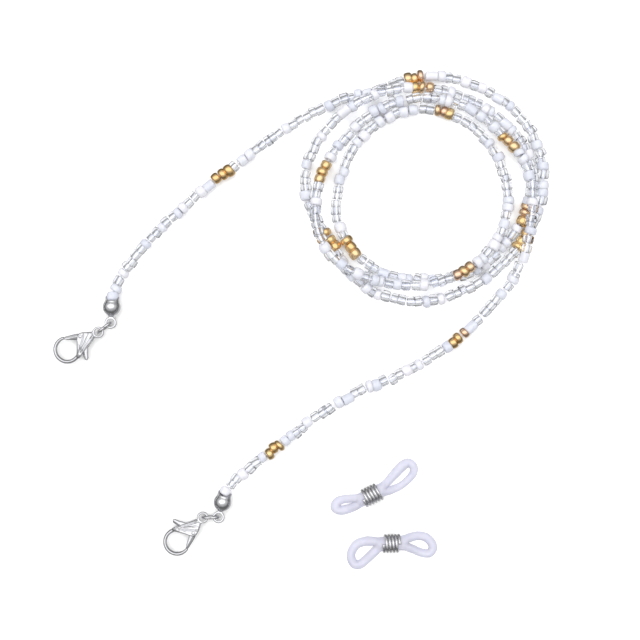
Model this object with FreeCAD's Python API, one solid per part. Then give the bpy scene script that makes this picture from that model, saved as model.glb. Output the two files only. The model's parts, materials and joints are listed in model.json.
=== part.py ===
"""Eyeglass retainer strap: a strand of seed beads with a lobster clasp at each end, and two
silicone temple holders that the clasps hook into. It lies on a table, z = 0, as it is packed.
Lengths are in millimetres and angles in degrees. +Z is up."""
import FreeCAD, Part
import math
import os

V = FreeCAD.Vector

# ---- layout: the middle of the clasps, bead tips and holders is the origin ----
LAYOUT_CENTRE = (0.026, 0.110)
ENDS = {
    # bead tip centre, then the headings of the bead tip, the jump ring and the clasp
    "a": {"tip": (-31.64, 30.19), "tip_heading": 265.3, "ring_heading": 217.9,
          "clasp_heading": 209.1, "clasp_flipped": True},
    "b": {"tip": (-5.29, -16.17), "tip_heading": 254.5, "ring_heading": 181.1,
          "clasp_heading": 223.5, "clasp_flipped": False},
}

# ---- strand ----
THREAD_DIAMETER = 0.5
BEAD_RADIUS = 1.25
BEAD_LENGTH = 1.9
BEAD_HOLE_RADIUS = 0.45
BEAD_CHAMFER = 0.35
BEAD_PITCH = 2.05
STRAND_Z = 1.3
FIRST_BEAD_AT = 3.4
BEAD_PATTERN = "ccwcwwccwwcwccwcw"
GOLD_BEADS_AT = {"a": (39.5,), "b": (18.0, 70.0)}
GOLD_BEADS_IN_GROUP = 3
# A tail runs from its bead tip to the coil: x, y and the height of the thread.
TAIL_ROUTES = {
    "a": [(-30.6, 35.4, 1.35), (-28.6, 39.2, 1.3), (-25.3, 43.5, 1.3), (-20.2, 48.9, 1.3),
          (-15.0, 53.8, 1.3), (-9.7, 58.4, 1.3), (-4.6, 62.4, 1.3), (1.2, 66.5, 1.3),
          (7.7, 71.5, 1.3), (13.1, 74.8, 1.3), (18.3, 77.6, 1.3), (23.9, 79.8, 1.3),
          (29.8, 81.4, 1.3)],
    "b": [(-3.3, -11.9, 1.35), (-0.6, -9.4, 1.3), (3.9, -5.9, 1.3), (7.8, -3.1, 1.3),
          (13.1, 1.4, 1.3), (19.0, 5.5, 1.3), (24.8, 8.9, 1.3), (30.0, 11.4, 1.3),
          (34.9, 13.2, 1.3), (39.8, 15.7, 1.3), (45.2, 18.9, 1.3), (50.2, 22.2, 1.3),
          (53.9, 25.7, 1.3), (57.6, 29.5, 1.4), (61.7, 34.2, 1.8), (65.2, 39.3, 2.6),
          (66.8, 44.2, 3.3)],
}
COIL_CENTRE = (42.4, 58.8)
COIL_INNER_RADIUS = 17.0
COIL_OUTER_RADIUS = 30.3
COIL_HEIGHT = 5.3
COIL_SHOULDER = 2.0
ARC_SHARE = 0.45

# ---- bead tip: a hollow clamshell with a flat loop ----
TIP_RADIUS = 2.1
TIP_WALL = 0.35
TIP_SLIT = 0.2
TIP_HINGE_X = 1.0
TIP_MOUTH_RADIUS = 0.6
TIP_EYE_OFFSET = 3.72
TIP_EYE_RADIUS = 1.45
TIP_EYE_THICKNESS = 1.0
TIP_NECK_WIDTH = 1.2
TIP_NECK_THICKNESS = 0.8
CRIMP_RADIUS = 0.85
CRIMP_LENGTH = 1.6
CRIMP_BULGE = 0.25

# ---- jump ring: an oval of round wire standing on edge ----
EYE_HOLE_RADIUS = 0.8
RING_WIRE_RADIUS = 0.35
RING_LENGTH = 3.75
RING_END_RADIUS = 1.2
RING_SEAM = 0.06
MID_Z = RING_END_RADIUS + RING_WIRE_RADIUS

# ---- lobster clasp: x runs from its eye to its bow, y to its gate, z from its middle ----
CLASP_EYE_RADIUS = 1.35
CLASP_EYE_HALF = 0.65
CLASP_HALF = MID_Z
BOW_CENTRE_X = 8.4
BOW_INNER_RADIUS = 2.42
BOW_OUTER_RADIUS = 3.35
BOW_HALF = 0.85
BOW_TIP_ANGLE = 98.0
BOW_ROOT_ANGLE = 222.0
SLOT_HALF = 0.65
SLOT_BACK_X = 1.95
LEVER_HALF = 0.6
PIVOT = (4.05, 1.15)
HUB_RADIUS = 0.95
RIVET_RADIUS = 0.4
RIVET_CLEARANCE = 0.05
SPRING_HALF = 0.45
SPRING_THICKNESS = 0.18
CHEEK_OUTLINE = [(1.0, 0.72), (3.3, 1.85), (4.5, 2.25), (5.0, 1.35), (6.0, -0.65),
                 (6.55, -1.65), (7.16, -3.11), (1.0, -0.72)]
CLASP_SIDE_OUTLINE = [(-2.0, CLASP_EYE_HALF), (0.95, CLASP_EYE_HALF), (2.3, 1.3),
                      (3.3, CLASP_HALF), (5.1, CLASP_HALF), (6.3, 1.2), (7.3, BOW_HALF),
                      (12.5, BOW_HALF)]
GATE_OUTLINE = [(3.6, 1.9), (5.5, 2.5), (7.5, 3.0), (7.9, 2.44), (7.24, 2.06), (5.2, 0.92),
                (4.2, 0.3)]
TRIGGER_OUTLINE = [(3.15, 1.2), (4.95, 0.5), (5.7, -2.6), (5.6, -4.2), (5.25, -4.5),
                   (4.85, -4.25), (3.7, -1.9)]
SPRING_LINE = [(2.0, -0.75), (2.35, 0.25), (2.95, 0.35), (3.32, -0.9)]

# ---- temple holders: x runs along the waist, heights are above the table ----
SILICONE_RADIUS = 1.05
WAIST_RADIUS = 1.6
WAIST_HALF_LENGTH = 2.3
COIL_WIRE_RADIUS = 0.28
COIL_WIRE_MEAN_RADIUS = 1.97
COIL_WIRE_PITCH = 0.78
COIL_WIRE_TURNS = 5.0
WAIST_Z = COIL_WIRE_MEAN_RADIUS + COIL_WIRE_RADIUS
LOOP_DOWN_BY = 6.8
HOLDERS = {
    "1": {"centre": (30.05, -14.40), "heading": 25.8,
          "temple": [(1.6, 0.5), (2.7, 0.55), (4.7, 1.05), (7.1, 1.95), (9.4, 2.95),
                     (11.4, 2.95), (12.15, 1.45), (11.2, 0.0), (9.2, -0.7), (6.6, -1.3),
                     (4.4, -1.15), (2.7, -0.55), (1.6, -0.5)],
          "clasp": [(-1.6, -0.5), (-2.7, -0.55), (-4.7, -0.85), (-6.5, -0.85), (-8.3, -0.6),
                    (-9.05, 0.7), (-8.35, 2.0), (-6.4, 1.9), (-4.5, 1.2), (-2.7, 0.55),
                    (-1.6, 0.5)]},
    "2": {"centre": (34.83, -25.93), "heading": 2.0,
          "temple": [(1.6, 0.5), (2.7, 0.6), (4.3, 1.15), (6.3, 1.45), (8.2, 1.1),
                     (9.6, -0.2), (9.75, -1.8), (8.5, -2.9), (6.4, -2.4), (4.4, -1.3),
                     (2.7, -0.6), (1.6, -0.5)],
          "clasp": [(-1.6, -0.5), (-2.7, -0.65), (-4.2, -1.9), (-5.9, -3.4), (-7.7, -4.9),
                    (-9.1, -4.5), (-9.7, -2.9), (-9.25, -1.2), (-8.0, 0.15), (-6.2, 0.75),
                    (-4.3, 0.7), (-2.7, 0.55), (-1.6, 0.5)]},
}

parts = {}


# ---- small tools ----
def direction(heading):
    return V(math.cos(math.radians(heading)), math.sin(math.radians(heading)), 0)


def laid(point, z=0.0):
    return V(point[0] - LAYOUT_CENTRE[0], point[1] - LAYOUT_CENTRE[1], z)


def placed(shape, position, heading, flipped=False):
    turn = FreeCAD.Rotation(V(0, 0, 1), heading)
    if flipped:
        turn = turn.multiply(FreeCAD.Rotation(V(1, 0, 0), 180))
    moved = shape.copy()
    moved.Placement = FreeCAD.Placement(position, turn).multiply(shape.Placement)
    return moved


def plate(points, half):
    corners = [V(x, y, -half) for x, y in points]
    face = Part.Face(Part.makePolygon(corners + corners[:1]))
    return face.extrude(V(0, 0, 2 * half))


def disc(radius, half, x=0.0, y=0.0):
    return Part.makeCylinder(radius, 2 * half, V(x, y, -half))


def rounded_path(points):
    """Straight runs joined by tangent arcs, and the radius of each arc."""
    edges = []
    radii = []
    at = points[0]
    for before, corner, after in zip(points, points[1:], points[2:]):
        arrive = (corner - before).normalize()
        leave = (after - corner).normalize()
        half_turn = arrive.getAngle(leave) / 2
        reach = ARC_SHARE * min((corner - before).Length, (after - corner).Length)
        radius = reach / math.tan(half_turn)
        inward = (leave - arrive).normalize()
        start = corner - arrive * reach
        end = corner + leave * reach
        middle = corner + inward * (radius / math.cos(half_turn) - radius)
        edges.append(Part.LineSegment(at, start).toShape())
        edges.append(Part.Arc(start, middle, end).toShape())
        radii.append(radius)
        at = end
    edges.append(Part.LineSegment(at, points[-1]).toShape())
    return Part.Wire(edges), radii


def tube(points, radius):
    path, radii = rounded_path(points)
    start_face = Part.Circle(points[0], points[1] - points[0], radius).toShape()
    solid = path.makePipeShell([Part.Wire([start_face])], True, False)
    return solid, path, radii


def one_solid(shape):
    """The cleaned-up largest solid of a boolean result."""
    return max(shape.removeSplitter().Solids, key=lambda solid: solid.Volume)


# ---- bead tips, crimps and jump rings ----
def make_bead_tip():
    shell = Part.makeSphere(TIP_RADIUS).cut(Part.makeSphere(TIP_RADIUS - TIP_WALL))
    depth = TIP_RADIUS + TIP_HINGE_X
    slit = Part.makeBox(depth, TIP_SLIT, 2 * TIP_RADIUS, V(-TIP_RADIUS, -TIP_SLIT / 2, -TIP_RADIUS))
    mouth = Part.makeCylinder(TIP_MOUTH_RADIUS, TIP_RADIUS, V(0, 0, 0), V(-1, 0, 0))
    shell = shell.cut(slit.fuse(mouth))
    drop = MID_Z - TIP_RADIUS
    eye = disc(TIP_EYE_RADIUS, TIP_EYE_THICKNESS / 2, TIP_EYE_OFFSET)
    neck_start = TIP_RADIUS - TIP_WALL / 2
    neck = Part.makeBox(TIP_EYE_OFFSET - TIP_EYE_RADIUS / 2 - neck_start, TIP_NECK_WIDTH,
                        TIP_NECK_THICKNESS,
                        V(neck_start, -TIP_NECK_WIDTH / 2, -TIP_NECK_THICKNESS / 2))
    loop = eye.fuse(neck).cut(disc(EYE_HOLE_RADIUS, TIP_EYE_THICKNESS, TIP_EYE_OFFSET))
    loop.translate(V(0, 0, drop))
    return one_solid(shell.fuse(loop))


def make_crimp():
    half = CRIMP_LENGTH / 2
    neck = CRIMP_RADIUS - CRIMP_BULGE
    outline = [V(-half, 0, 0), V(-half, neck, 0), V(-half / 2, CRIMP_RADIUS, 0),
               V(half / 2, CRIMP_RADIUS, 0), V(half, neck, 0), V(half, 0, 0), V(-half, 0, 0)]
    return Part.Face(Part.makePolygon(outline)).revolve(V(0, 0, 0), V(1, 0, 0), 360)


def make_jump_ring():
    """The oval's upright ends pass through the middles of the two eyes' holes."""
    near, far = RING_END_RADIUS, RING_LENGTH - RING_END_RADIUS
    top = RING_END_RADIUS
    seam_x = RING_LENGTH / 2
    corners = [V(seam_x + RING_SEAM / 2, 0, top), V(far, 0, top), V(RING_LENGTH, 0, 0),
               V(far, 0, -top), V(near, 0, -top), V(0, 0, 0), V(near, 0, top),
               V(seam_x - RING_SEAM / 2, 0, top)]
    path = Part.Wire([
        Part.LineSegment(corners[0], corners[1]).toShape(),
        Part.Arc(corners[1], corners[2], corners[3]).toShape(),
        Part.LineSegment(corners[3], corners[4]).toShape(),
        Part.Arc(corners[4], corners[5], corners[6]).toShape(),
        Part.LineSegment(corners[6], corners[7]).toShape(),
    ])
    start_face = Part.Circle(corners[0], V(1, 0, 0), RING_WIRE_RADIUS).toShape()
    return path.makePipeShell([Part.Wire([start_face])], True, False)


# ---- lobster clasp ----
def make_clasp_body():
    cheeks = plate(CHEEK_OUTLINE, CLASP_HALF)
    reach = BOW_CENTRE_X + BOW_OUTER_RADIUS
    slot = Part.makeBox(reach, reach, 2 * SLOT_HALF, V(SLOT_BACK_X, -reach / 2, -SLOT_HALF))
    cheeks = cheeks.cut(slot)
    bow_sweep = 360 - (BOW_ROOT_ANGLE - BOW_TIP_ANGLE)
    bow = Part.makeCylinder(BOW_OUTER_RADIUS, 2 * BOW_HALF, V(0, 0, -BOW_HALF), V(0, 0, 1),
                            bow_sweep)
    bow.rotate(V(0, 0, 0), V(0, 0, 1), BOW_ROOT_ANGLE)
    bow.translate(V(BOW_CENTRE_X, 0, 0))
    bow = bow.cut(disc(BOW_INNER_RADIUS, CLASP_HALF, BOW_CENTRE_X))
    body = cheeks.fuse([bow, disc(CLASP_EYE_RADIUS, CLASP_EYE_HALF)])
    body = body.cut(disc(EYE_HOLE_RADIUS, CLASP_HALF))
    body = body.cut(disc(RIVET_RADIUS, CLASP_HALF, *PIVOT))
    upper = [V(x, -reach, z) for x, z in CLASP_SIDE_OUTLINE]
    lower = [V(x, -reach, -z) for x, z in reversed(CLASP_SIDE_OUTLINE)]
    side = Part.Face(Part.makePolygon(upper + lower + upper[:1])).extrude(V(0, 2 * reach, 0))
    return one_solid(body.common(side))


def make_clasp_lever():
    lever = plate(GATE_OUTLINE, LEVER_HALF).fuse(
        [plate(TRIGGER_OUTLINE, LEVER_HALF), disc(HUB_RADIUS, LEVER_HALF, *PIVOT)])
    return one_solid(lever.cut(disc(RIVET_RADIUS + RIVET_CLEARANCE, LEVER_HALF, *PIVOT)))


def make_clasp_rivet():
    return disc(RIVET_RADIUS, CLASP_HALF, *PIVOT)


def make_clasp_spring():
    """A bent leaf between the back of the slot and the trigger."""
    line = Part.makePolygon([V(x, y, -SPRING_HALF) for x, y in SPRING_LINE])
    leaf = line.makeOffset2D(SPRING_THICKNESS / 2, 0, False, False)
    return Part.Face(leaf).extrude(V(0, 0, 2 * SPRING_HALF))


# ---- temple holders ----
def loop_height(x):
    """The silicone leaves the waist level and sags to the table."""
    start = WAIST_HALF_LENGTH
    share = min(max((abs(x) - start) / (LOOP_DOWN_BY - start), 0.0), 1.0)
    drop = WAIST_Z - SILICONE_RADIUS
    return WAIST_Z - drop * share


def make_silicone(holder):
    body = Part.makeCylinder(WAIST_RADIUS, 2 * WAIST_HALF_LENGTH,
                             V(-WAIST_HALF_LENGTH, 0, WAIST_Z), V(1, 0, 0))
    for loop in ("temple", "clasp"):
        points = [V(x, y, loop_height(x)) for x, y in holder[loop]]
        middle = len(points) // 2
        split = (points[middle - 1] + points[middle]) * 0.5
        for half in (points[:middle] + [split], [split] + points[middle:]):
            body = body.fuse(tube(half, SILICONE_RADIUS)[0])
    return one_solid(body)


def make_wire_coil():
    height = COIL_WIRE_PITCH * COIL_WIRE_TURNS
    helix = Part.makeHelix(COIL_WIRE_PITCH, height, COIL_WIRE_MEAN_RADIUS)
    start = V(COIL_WIRE_MEAN_RADIUS, 0, 0)
    ring = Part.Wire([Part.Circle(start, V(0, 1, 0), COIL_WIRE_RADIUS).toShape()])
    coil = Part.Wire(helix).makePipeShell([ring], True, True)
    coil.translate(V(0, 0, -height / 2))
    coil.rotate(V(0, 0, 0), V(0, 1, 0), 90)
    coil.translate(V(0, 0, WAIST_Z))
    return coil


# ---- strand ----
def make_coil_solid():
    shoulder = COIL_HEIGHT - COIL_SHOULDER
    profile = [(COIL_INNER_RADIUS, 0), (COIL_OUTER_RADIUS, 0), (COIL_OUTER_RADIUS, shoulder),
               (COIL_OUTER_RADIUS - COIL_SHOULDER, COIL_HEIGHT),
               (COIL_INNER_RADIUS + COIL_SHOULDER, COIL_HEIGHT),
               (COIL_INNER_RADIUS, shoulder), (COIL_INNER_RADIUS, 0)]
    face = Part.Face(Part.makePolygon([V(radius, 0, z) for radius, z in profile]))
    ring = face.revolve(V(0, 0, 0), V(0, 0, 1), 360)
    ring.translate(laid(COIL_CENTRE))
    return ring


def make_bead():
    """A seed bead about +Z, with its hole."""
    half = BEAD_LENGTH / 2
    shoulder = half - BEAD_CHAMFER
    rim = BEAD_RADIUS - BEAD_CHAMFER
    profile = [(BEAD_HOLE_RADIUS, -half), (rim, -half), (BEAD_RADIUS, -shoulder),
               (BEAD_RADIUS, shoulder), (rim, half), (BEAD_HOLE_RADIUS, half),
               (BEAD_HOLE_RADIUS, -half)]
    face = Part.Face(Part.makePolygon([V(radius, 0, z) for radius, z in profile]))
    return face.revolve(V(0, 0, 0), V(0, 0, 1), 360)


def bead_kind(end, along, index):
    length = BEAD_PITCH * GOLD_BEADS_IN_GROUP
    if any(start <= along < start + length for start in GOLD_BEADS_AT[end]):
        return "gold"
    return {"c": "clear", "w": "white"}[BEAD_PATTERN[index % len(BEAD_PATTERN)]]


def make_tail(end, coil):
    """The thread from the crimp to the coil, and the beads on it."""
    tip = laid(ENDS[end]["tip"], TIP_RADIUS)
    away = direction(ENDS[end]["tip_heading"]) * -1
    start = tip + away * (CRIMP_LENGTH / 2)
    mouth = tip + away * (TIP_RADIUS + 0.8) + V(0, 0, -0.25)
    route = [start, mouth] + [laid(point, point[2]) for point in TAIL_ROUTES[end]]
    thread, path, radii = tube(route, THREAD_DIAMETER / 2)
    section = math.pi * (THREAD_DIAMETER / 2) ** 2
    print(f"tail {end}: {path.Length:.1f} mm, volume over section times length "
          f"{thread.Volume / (section * path.Length):.4f}")
    print("  arc radii " + " ".join(f"{radius:.0f}" for radius in radii))
    parts[f"thread_tail_{end}"] = one_solid(thread.cut(coil))
    middle = laid(COIL_CENTRE, STRAND_Z)
    groups = {"clear": [], "white": [], "gold": []}
    at = path.discretize(Distance=BEAD_PITCH / 2)
    along = FIRST_BEAD_AT
    for index in range(len(at) // 2):
        near = at[int(round(2 * along / BEAD_PITCH)) - 1]
        here = at[int(round(2 * along / BEAD_PITCH))]
        ahead = at[int(round(2 * along / BEAD_PITCH)) + 1]
        if (ahead - middle).Length < COIL_OUTER_RADIUS + BEAD_LENGTH:
            break
        bead = make_bead()
        bead.Placement = FreeCAD.Placement(here, FreeCAD.Rotation(V(0, 0, 1), ahead - near))
        groups[bead_kind(end, along, index)].append(bead)
        along += BEAD_PITCH
    for kind, beads in groups.items():
        parts[f"{kind}_beads_{end}"] = Part.makeCompound(beads)


# ---- assembly ----
def make_end(name, end):
    tip = laid(end["tip"], TIP_RADIUS)
    parts[f"bead_tip_{name}"] = placed(make_bead_tip(), tip, end["tip_heading"])
    parts[f"crimp_bead_{name}"] = placed(make_crimp(), tip, end["tip_heading"])
    tip_eye = laid(end["tip"], MID_Z) + direction(end["tip_heading"]) * TIP_EYE_OFFSET
    parts[f"jump_ring_{name}"] = placed(make_jump_ring(), tip_eye, end["ring_heading"])
    clasp_eye = tip_eye + direction(end["ring_heading"]) * RING_LENGTH
    pieces = {"body": make_clasp_body(), "lever": make_clasp_lever(),
              "rivet": make_clasp_rivet(), "spring": make_clasp_spring()}
    for piece, shape in pieces.items():
        parts[f"clasp_{name}_{piece}"] = placed(
            shape, clasp_eye, end["clasp_heading"], end["clasp_flipped"])
    side = -1 if end["clasp_flipped"] else 1
    across = direction(end["clasp_heading"] + 90) * side
    along = direction(end["clasp_heading"])
    print(f"end {name}: tip eye {tuple(tip_eye)}, clasp eye {tuple(clasp_eye)}")
    print(f"  rivet {tuple(clasp_eye + along * PIVOT[0] + across * PIVOT[1])}")
    print(f"  bow {tuple(clasp_eye + along * BOW_CENTRE_X)}")


def make_holder(name, holder):
    spot = laid(holder["centre"])
    parts[f"silicone_loop_{name}"] = placed(make_silicone(holder), spot, holder["heading"])
    parts[f"wire_coil_{name}"] = placed(make_wire_coil(), spot, holder["heading"])
    print(f"holder {name}: {tuple(spot)}")


def main():
    for name, end in ENDS.items():
        make_end(name, end)
    for name, holder in HOLDERS.items():
        make_holder(name, holder)
    hardware = Part.makeCompound(list(parts.values())).optimalBoundingBox(False, False)
    print(f"hardware x {hardware.XMin:.3f} {hardware.XMax:.3f} y {hardware.YMin:.3f} "
          f"{hardware.YMax:.3f} z {hardware.ZMin:.3f} {hardware.ZMax:.3f}")
    coil = make_coil_solid()
    parts["strand_coil"] = coil
    for name in ENDS:
        make_tail(name, coil)
    os.makedirs("parts", exist_ok=True)
    for name, shape in parts.items():
        print(f"{name}: {len(shape.Solids)} solids, {shape.Volume:.2f} mm3, valid {shape.isValid()}")
        shape.exportStep(f"parts/{name}.step")


main()
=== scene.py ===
"""The eyeglass retainer strap as it is packed: a strand of glass seed beads laid in a loose coil,
with a lobster clasp at each end, and two silicone temple holders, seen from straight above."""

import json
import math
import random

import bpy
import numpy as np
from mathutils import Matrix, Vector


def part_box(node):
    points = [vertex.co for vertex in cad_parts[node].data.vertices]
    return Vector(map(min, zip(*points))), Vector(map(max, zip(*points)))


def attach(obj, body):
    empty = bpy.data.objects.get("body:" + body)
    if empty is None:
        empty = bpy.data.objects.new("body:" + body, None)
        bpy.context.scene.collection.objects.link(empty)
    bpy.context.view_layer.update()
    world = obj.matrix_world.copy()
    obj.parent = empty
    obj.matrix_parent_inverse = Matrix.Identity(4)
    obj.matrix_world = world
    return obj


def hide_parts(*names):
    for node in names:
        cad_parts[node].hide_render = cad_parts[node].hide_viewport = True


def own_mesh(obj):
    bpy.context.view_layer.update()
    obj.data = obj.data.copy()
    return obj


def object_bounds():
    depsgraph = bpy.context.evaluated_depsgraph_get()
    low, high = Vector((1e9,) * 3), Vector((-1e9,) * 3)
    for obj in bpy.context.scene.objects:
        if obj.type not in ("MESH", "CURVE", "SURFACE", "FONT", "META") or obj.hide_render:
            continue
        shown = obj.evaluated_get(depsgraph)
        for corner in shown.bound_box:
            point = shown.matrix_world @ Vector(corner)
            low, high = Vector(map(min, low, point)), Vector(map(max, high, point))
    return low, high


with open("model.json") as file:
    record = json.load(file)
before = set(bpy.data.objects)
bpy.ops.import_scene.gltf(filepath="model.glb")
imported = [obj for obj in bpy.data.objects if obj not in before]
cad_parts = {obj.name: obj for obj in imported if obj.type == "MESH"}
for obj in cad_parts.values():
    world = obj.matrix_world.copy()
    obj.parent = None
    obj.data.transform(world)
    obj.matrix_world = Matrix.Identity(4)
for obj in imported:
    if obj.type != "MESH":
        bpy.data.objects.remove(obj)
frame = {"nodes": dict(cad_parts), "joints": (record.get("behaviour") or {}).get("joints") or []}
CAD_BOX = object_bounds()
MM = 0.001

# ---- strand: its route is in metres, as it lies ----
LAYOUT_CENTRE = Vector((0.000026, 0.00011, 0.0))
TAIL_A = [(-0.0306, 0.0354, 0.00135), (-0.0286, 0.0392, 0.0013), (-0.0253, 0.0435, 0.0013),
          (-0.0202, 0.0489, 0.0013), (-0.0150, 0.0538, 0.0013), (-0.0097, 0.0584, 0.0013),
          (-0.0046, 0.0624, 0.0013), (0.0012, 0.0665, 0.0013), (0.0077, 0.0715, 0.0013),
          (0.0131, 0.0748, 0.0013), (0.0183, 0.0776, 0.0013), (0.0239, 0.0798, 0.0013),
          (0.0298, 0.0814, 0.0013)]
TAIL_B = [(-0.0033, -0.0119, 0.00135), (-0.0006, -0.0094, 0.0013), (0.0039, -0.0059, 0.0013),
          (0.0078, -0.0031, 0.0013), (0.0131, 0.0014, 0.0013), (0.0190, 0.0055, 0.0013),
          (0.0248, 0.0089, 0.0013), (0.0300, 0.0114, 0.0013), (0.0349, 0.0132, 0.0013),
          (0.0398, 0.0157, 0.0013), (0.0452, 0.0189, 0.0013), (0.0502, 0.0222, 0.0013),
          (0.0539, 0.0257, 0.0013), (0.0576, 0.0295, 0.0014), (0.0617, 0.0342, 0.0018),
          (0.0652, 0.0393, 0.0026), (0.0668, 0.0442, 0.0033)]
THREAD_DIAMETER = 0.0005
# Where the thread leaves the crimp and then the bead tip's lips, in metres from the crimp's middle.
CRIMP_END = 0.0008
LIPS_END = 0.0029
LIPS_DROP = 0.00025
# The loose coil is wound clockwise from its top: the radius in mm at each twelfth of a turn.
COIL_CENTRE = Vector((0.0424, 0.0588, 0.0))
COIL_RADII = [26.3, 27.3, 28.8, 28.6, 26.9, 26.2, 27.3, 27.6, 25.2, 28.2, 26.9, 24.8,
              23.3, 23.2, 25.4, 26.2, 23.8, 23.3, 21.9, 22.5, 22.5, 20.1, 18.7, 18.8,
              18.7, 18.3, 18.8, 19.8, 21.5, 22.3, 23.1, 25.4, 27.6, 25.1, 22.0, 21.0,
              21.2, 21.5, 22.5, 26.2]
KNOTS_PER_TURN = 12
STEPS_PER_KNOT = 2
# How the strand lies on the table and on itself, in mm.
STRAND_Z = 1.3
LAY_DISTANCE = 2.25
NEXT_TURN = 9.0
HIGHEST_STRAND = 5.2
STRAND_SLOPE = 0.4
SETTLE_STEPS = 8
SETTLE_ROUNDS = 6

# ---- beads, in mm ----
# How far along the thread the middle of each gold group is.
GOLD_AT = (40.4, 93.2, 151.4, 210.0, 264.0, 310.7, 360.1, 411.0, 460.0, 514.4, 569.5, 624.3, 674.6)
GOLD_IN_GROUP = 3
HALF_GROUP = 3.3
KIND_SHARES = {"clear": 0.6, "white": 0.36, "tube": 0.04}
LONGEST_CLEAR_RUN = 5
FIRST_BEAD_START = 1.0
BEAD_GAP = 0.06
END_BEAD_RADIUS = 1.45
BEAD_SEGMENTS = 20
PROFILE_POINTS = 14
PROFILE_START = 0.2
BEAD_KINDS = {
    "clear": {"radius": (1.15, 1.4), "length": (1.5, 2.15), "hole": 0.5, "square": (2.9, 4.4)},
    "white": {"radius": (1.22, 1.5), "length": (1.45, 2.35), "hole": 0.42, "square": (2.2, 2.9)},
    "tube": {"radius": (1.1, 1.25), "length": (2.5, 3.1), "hole": 0.42, "square": (4.0, 6.0)},
    "gold": {"radius": (1.3, 1.58), "length": (1.25, 2.15), "hole": 0.42, "square": (2.1, 2.5)},
}
# How far one bead may be from a true round one, and from its place on the thread.
BEAD_SKEW = 0.12
BEAD_OVAL = 0.035
BEAD_TAPER = 0.05
BEAD_WOBBLE = 0.012
OFF_CENTRE = 0.3
TILT = 12.0
# A bead points along the thread as it runs this far each way from the bead's middle.
HEADING_REACH = 0.6
# Beads of different turns are pushed apart, a share of their overlap at a time.
NEIGHBOURS = 2
PUSH_ROUNDS = 40
PUSH_SHARE = 0.3
PUSHED_MOST = 0.75

# ---- hardware, in mm. A clasp's x runs from its eye to its hook, a bead tip's from its ball to its
# eye, and a ring's from the tip's eye to the clasp's. z is across the flat of the piece. ----
EYE_MIDDLE = 1.075
EYE_HALF_WIDTH = 0.275
EYE_HALF = 0.62
CLASP_HALF = 1.55
BOW_CENTRE_X = 8.4
BOW_RADIUS = 2.885
BOW_HALF_WIDTH = 0.465
BOW_HALF = 0.72
BOW_MIDDLE_ANGLE = 340.0
BOW_HALF_SWEEP = 118.0
BOW_SLIMMER = 0.22
BOW_SLIM_SWEEP = 40
SPINE_FOOT = (7.0, -3.0)
CHEEKS = [(1.0, 0.68), (2.2, 1.32), (3.16, 1.8), (3.94, 1.98), (4.6, 1.62), (5.26, 0.72),
          (5.8, -0.2), (6.47, -1.3), (6.95, -2.1), (7.1, -3.15), (5.9, -2.85), (3.57, -1.7),
          (1.4, -0.78)]
CHEEK_EDGE = 0.42
# The body's half thickness at each x.
SIDE_X = [-2.0, 0.95, 2.3, 3.3, 5.1, 6.3, 7.3]
SIDE_HALF = [0.65, 0.65, 1.25, CLASP_HALF, CLASP_HALF, 1.2, 0.8]
# Grooves and ridges fan out from the spine's foot: a ray's angle, its depth and its half width.
FAN = [(133.5, 0.36, 0.25), (143.5, 0.16, 0.25), (152.5, 0.38, 0.25), (117.0, -0.12, 0.4)]
FAN_ROUND = 0.07
FAN_START, FAN_EASE_IN = 0.8, 1.2
FAN_END, FAN_EASE_OUT = 6.6, 1.6
SLOT_HALF = 0.65
SLOT_BACK_X = 1.95
LEVER_HALF = 0.6
PIVOT = (4.05, 1.15)
HUB_RADIUS = 0.75
RIVET_RADIUS = 0.4
RIVET_BEVEL = 0.05
RIVET_FLUSH = 0.01
RIVET_PLAY = 0.05
GATE_MIDDLE = 0.1
GATE_SLOPE = 0.3
GATE_CROWN = 0.42
GATE_ROOT_X, GATE_TIP_X = 4.0, 7.9
GATE_TIP_HALF = 0.5
LEVER_EDGE = 0.22
LEVER_INSET = 0.02
TRIGGER_MIDDLE = 4.4
TRIGGER_SLOPE = 0.25
GATE = [(3.9, 1.7), (4.4, 2.15), (5.5, 2.5), (7.5, 3.0), (7.92, 2.45), (7.3, 1.98), (5.2, 0.78),
        (4.2, 0.3)]
TRIGGER = [(3.15, 1.2), (4.95, 0.5), (5.5, -1.2), (5.75, -2.9), (5.95, -4.1), (5.5, -4.55),
           (5.0, -4.2), (4.6, -3.3), (3.75, -1.8)]
SPRING_LINE = [(2.0, -0.75), (2.35, 0.25), (2.95, 0.35), (3.32, -0.9)]
SPRING_THICKNESS = 0.18
SPRING_HALF = 0.45
TIP_RADIUS = 2.1
TIP_WALL = 0.34
LIP_RADIUS = 1.5
LIP_ROOT = 1.35
LIP_LOW = 1.55
LIP_HIGH = 2.55
LIP_TURN = 0.1
LIP_HALF_WALL = 0.13
SEAM_TURN = 0.9
SEAM_HALF = 0.09
SEAM_END_X = 1.2
SEAM_DEPTH = 0.2
HINGE_RADIUS = 0.26
TAB_HALF_WIDTH = 0.62
NECK_X, NECK_HALF_LENGTH = 2.35, 0.55
NECK_HALF = 0.3
TIP_EYE_X = 3.72
TIP_EYE_DROP = 0.55
TIP_EYE_MIDDLE = 1.12
TIP_EYE_HALF_WIDTH = 0.3
TIP_EYE_HALF = 0.42
RING_WIRE = 0.35
RING_END = 1.2
RING_LENGTH = 3.75
RING_SEAM = 0.06
RING_END_POINTS = 13
ROD_SEGMENTS = {"ring": 20, "rivet": 28, "wire": 14}
# Any direction that no rod starts along.
ASKEW = (0.3, 0.9, 0.2)
# Rounds of moving a sculpted mesh onto its surface.
SNAP_ROUNDS = 4
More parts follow.
